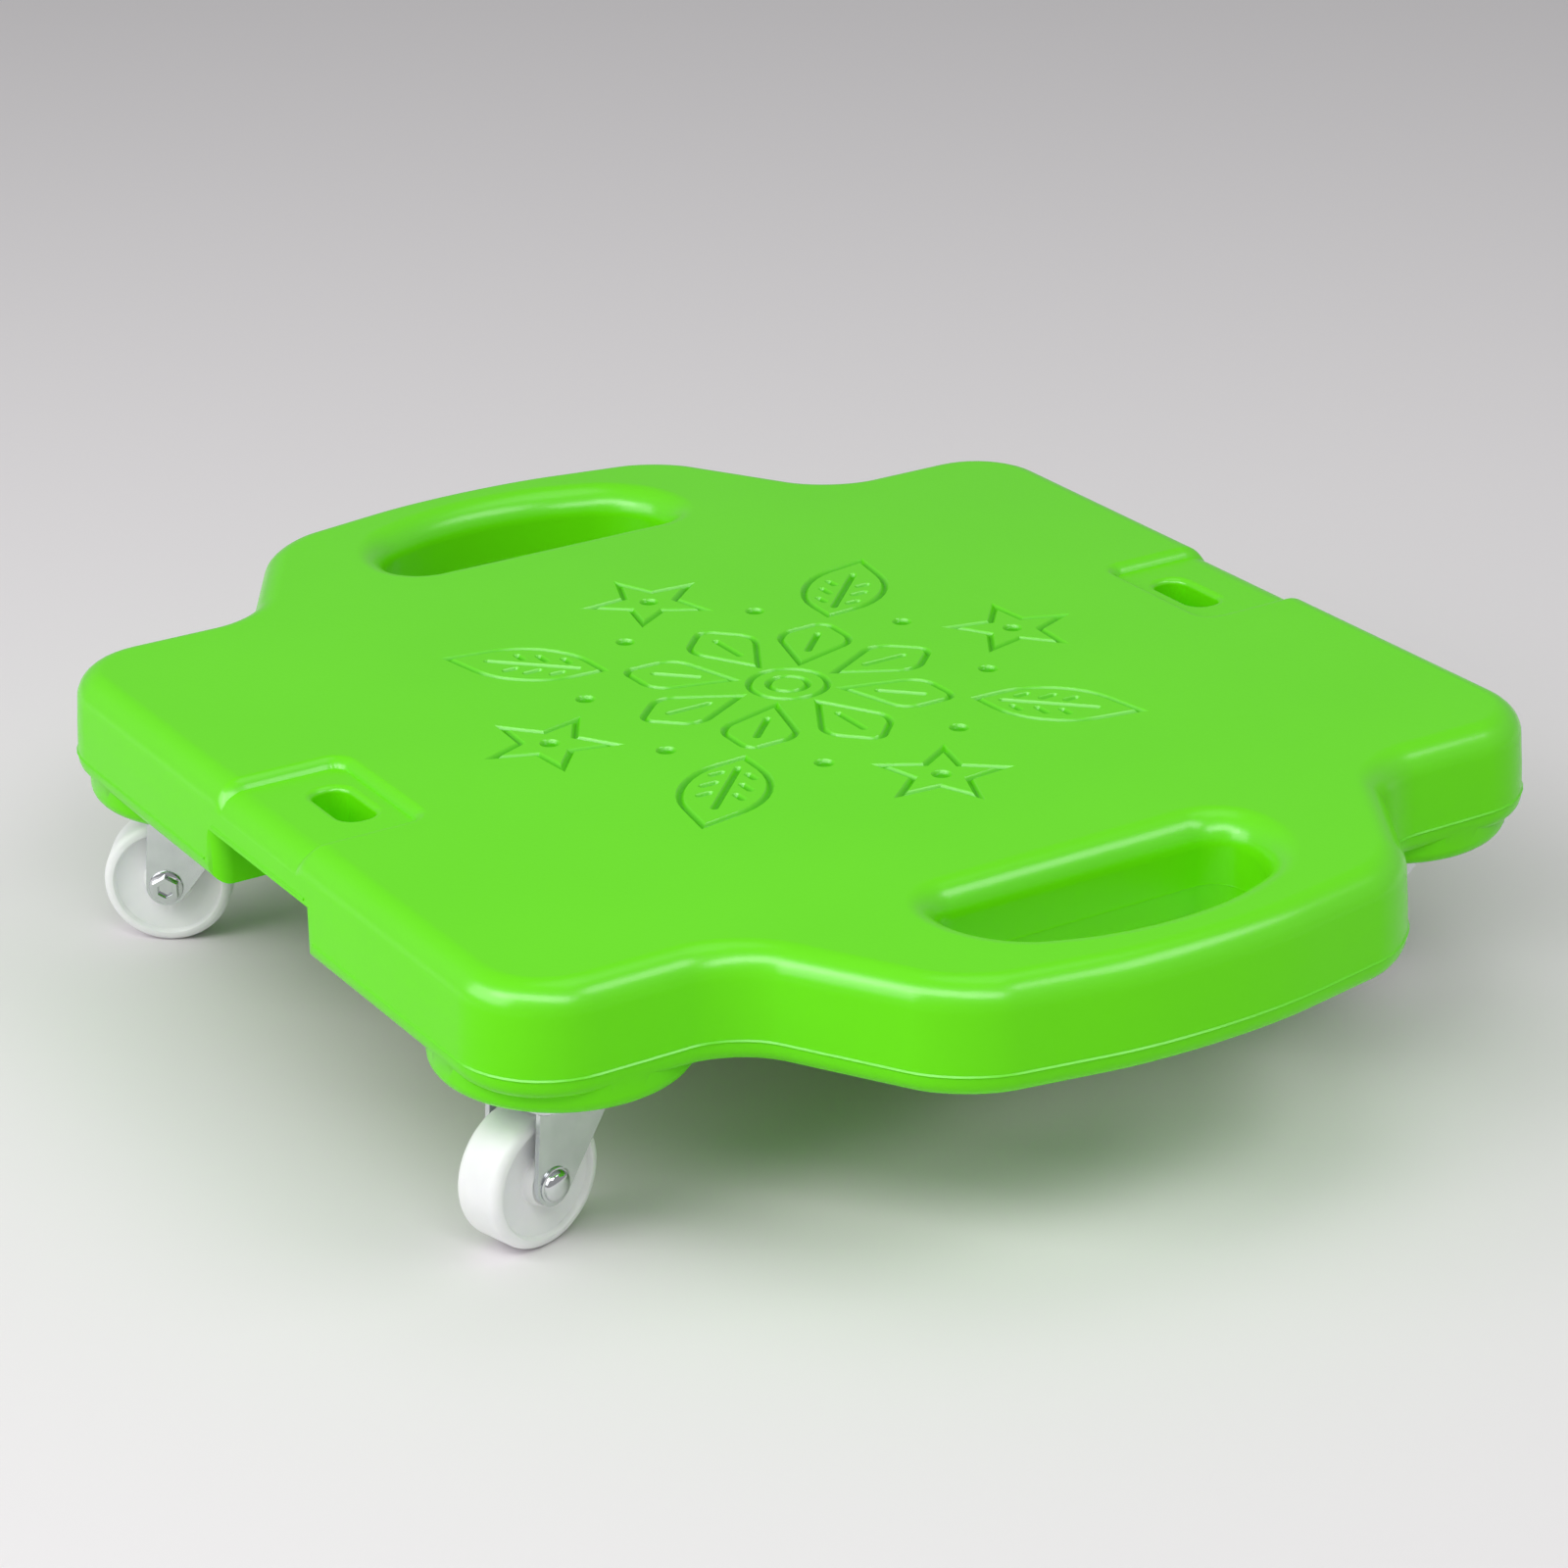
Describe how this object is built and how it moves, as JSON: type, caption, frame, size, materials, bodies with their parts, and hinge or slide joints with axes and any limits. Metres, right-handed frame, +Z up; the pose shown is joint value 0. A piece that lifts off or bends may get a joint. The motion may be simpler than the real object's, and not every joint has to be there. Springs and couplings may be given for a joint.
{
  "type": "scooter board",
  "caption": "Ride-on scooter board: hollow moulded plastic board with handle holes and link tabs, on free-swivelling casters with white wheels.",
  "frame": {"origin": "on the floor, under the middle of the board", "axes": "+X from the left handle to the right handle, +Y from the front link tab to the back link tab, +Z up"},
  "size_m": [0.433, 0.361, 0.089],
  "materials": {
    "green_plastic": "semi-gloss blow-moulded polyethylene",
    "white_nylon": "smooth, slightly translucent nylon",
    "zinc_steel": "bright zinc plated pressed sheet",
    "bright_steel": "polished"
  },
  "bodies": {
    "board": {"board_shell": "green_plastic", "front_left_mounting_plate": "zinc_steel", "front_left_kingpin": "zinc_steel", "front_left_upper_ball_ring": "bright_steel", "front_left_lower_ball_ring": "bright_steel", "front_left_plate_screw_1": "zinc_steel", "front_left_plate_screw_2": "zinc_steel", "front_left_plate_screw_3": "zinc_steel", "front_left_plate_screw_4": "zinc_steel", "front_right_mounting_plate": "zinc_steel", "front_right_kingpin": "zinc_steel", "front_right_upper_ball_ring": "bright_steel", "front_right_lower_ball_ring": "bright_steel", "front_right_plate_screw_1": "zinc_steel", "front_right_plate_screw_2": "zinc_steel", "front_right_plate_screw_3": "zinc_steel", "front_right_plate_screw_4": "zinc_steel", "back_right_mounting_plate": "zinc_steel", "back_right_kingpin": "zinc_steel", "back_right_upper_ball_ring": "bright_steel", "back_right_lower_ball_ring": "bright_steel", "back_right_plate_screw_1": "zinc_steel", "back_right_plate_screw_2": "zinc_steel", "back_right_plate_screw_3": "zinc_steel", "back_right_plate_screw_4": "zinc_steel", "back_left_mounting_plate": "zinc_steel", "back_left_kingpin": "zinc_steel", "back_left_upper_ball_ring": "bright_steel", "back_left_lower_ball_ring": "bright_steel", "back_left_plate_screw_1": "zinc_steel", "back_left_plate_screw_2": "zinc_steel", "back_left_plate_screw_3": "zinc_steel", "back_left_plate_screw_4": "zinc_steel"},
    "front_left_caster": {"front_left_fork": "zinc_steel", "front_left_dust_cup": "zinc_steel", "front_left_axle_sleeve": "zinc_steel", "front_left_axle_bolt": "bright_steel", "front_left_axle_nut": "bright_steel"},
    "front_right_caster": {"front_right_fork": "zinc_steel", "front_right_dust_cup": "zinc_steel", "front_right_axle_sleeve": "zinc_steel", "front_right_axle_bolt": "bright_steel", "front_right_axle_nut": "bright_steel"},
    "back_right_caster": {"back_right_fork": "zinc_steel", "back_right_dust_cup": "zinc_steel", "back_right_axle_sleeve": "zinc_steel", "back_right_axle_bolt": "bright_steel", "back_right_axle_nut": "bright_steel"},
    "back_left_caster": {"back_left_fork": "zinc_steel", "back_left_dust_cup": "zinc_steel", "back_left_axle_sleeve": "zinc_steel", "back_left_axle_bolt": "bright_steel", "back_left_axle_nut": "bright_steel"},
    "front_left_wheel_body": {"front_left_wheel": "white_nylon"},
    "front_right_wheel_body": {"front_right_wheel": "white_nylon"},
    "back_right_wheel_body": {"back_right_wheel": "white_nylon"},
    "back_left_wheel_body": {"back_left_wheel": "white_nylon"}
  },
  "joints": [
    {"name": "front_left_swivel", "type": "hinge", "parent": "board", "child": "front_left_caster", "pos_m": [-0.11051, -0.14251, 0.045], "axis": [0, 0, 1], "continuous": true},
    {"name": "front_right_swivel", "type": "hinge", "parent": "board", "child": "front_right_caster", "pos_m": [0.11051, -0.14251, 0.045], "axis": [0, 0, 1], "continuous": true},
    {"name": "back_right_swivel", "type": "hinge", "parent": "board", "child": "back_right_caster", "pos_m": [0.11051, 0.14251, 0.045], "axis": [0, 0, 1], "continuous": true},
    {"name": "back_left_swivel", "type": "hinge", "parent": "board", "child": "back_left_caster", "pos_m": [-0.11051, 0.14251, 0.045], "axis": [0, 0, 1], "continuous": true},
    {"name": "front_left_spin", "type": "hinge", "parent": "front_left_caster", "child": "front_left_wheel_body", "pos_m": [-0.11868, -0.15509, 0.02], "axis": [-0.8387, 0.5446, 0], "continuous": true},
    {"name": "front_right_spin", "type": "hinge", "parent": "front_right_caster", "child": "front_right_wheel_body", "pos_m": [0.1144, -0.157, 0.02], "axis": [-0.9659, -0.2588, 0], "continuous": true},
    {"name": "back_right_spin", "type": "hinge", "parent": "back_right_caster", "child": "back_right_wheel_body", "pos_m": [0.1074, 0.12784, 0.02], "axis": [-0.9781, 0.2079, 0], "continuous": true},
    {"name": "back_left_spin", "type": "hinge", "parent": "back_left_caster", "child": "back_left_wheel_body", "pos_m": [-0.10048, 0.13137, 0.02], "axis": [-0.7431, -0.6691, 0], "continuous": true}
  ]
}
